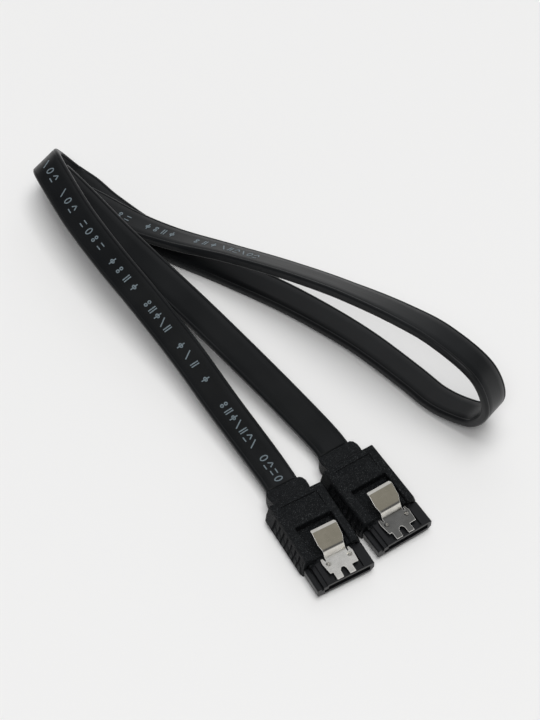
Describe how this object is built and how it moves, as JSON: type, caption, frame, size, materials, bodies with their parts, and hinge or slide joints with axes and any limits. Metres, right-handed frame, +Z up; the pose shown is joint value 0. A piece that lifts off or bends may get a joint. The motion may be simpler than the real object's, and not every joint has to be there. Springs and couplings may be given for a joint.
{
  "type": "sata data cable",
  "caption": "Flat black data cable with a latching keyed plug on each end, lying folded back on itself on a table.",
  "frame": {"origin": "on the table under the middle of connector A's overmould", "axes": "+Z up; connector A's mouth points along -Y and its ribbon leaves along +Y; connector B lies on the +X side"},
  "size_m": [0.0653, 0.1369, 0.027],
  "materials": {
    "jacket": "satin black PVC",
    "overmould": "fine textured matt black",
    "housing": "semi gloss black",
    "inner_mould": "plain pale plastic",
    "contact": "gold plated",
    "latch": "brushed stainless steel"
  },
  "bodies": {
    "cable": {"ribbon_cable": "jacket", "overmould_a": "overmould", "overmould_b": "overmould", "housing_a": "housing", "housing_b": "housing", "inner_mould_a": "inner_mould", "inner_mould_b": "inner_mould", "contact_1_a": "contact", "contact_2_a": "contact", "contact_3_a": "contact", "contact_4_a": "contact", "contact_5_a": "contact", "contact_6_a": "contact", "contact_7_a": "contact", "contact_1_b": "contact", "contact_2_b": "contact", "contact_3_b": "contact", "contact_4_b": "contact", "contact_5_b": "contact", "contact_6_b": "contact", "contact_7_b": "contact"},
    "latch_arm_a": {"latch_a": "latch"},
    "latch_arm_b": {"latch_b": "latch"}
  },
  "joints": [
    {"name": "press_latch_a", "type": "hinge", "parent": "cable", "child": "latch_arm_a", "pos_m": [0.00065, -0.01395, 0.00405], "axis": [-1, 0, 0], "range_deg": [0, 4], "stiffness_Nm_per_rad": 0.5},
    {"name": "press_latch_b", "type": "hinge", "parent": "cable", "child": "latch_arm_b", "pos_m": [0.0172, -0.01148, 0.00405], "axis": [-0.9979, -0.0645, 0], "range_deg": [0, 4], "stiffness_Nm_per_rad": 0.5}
  ]
}
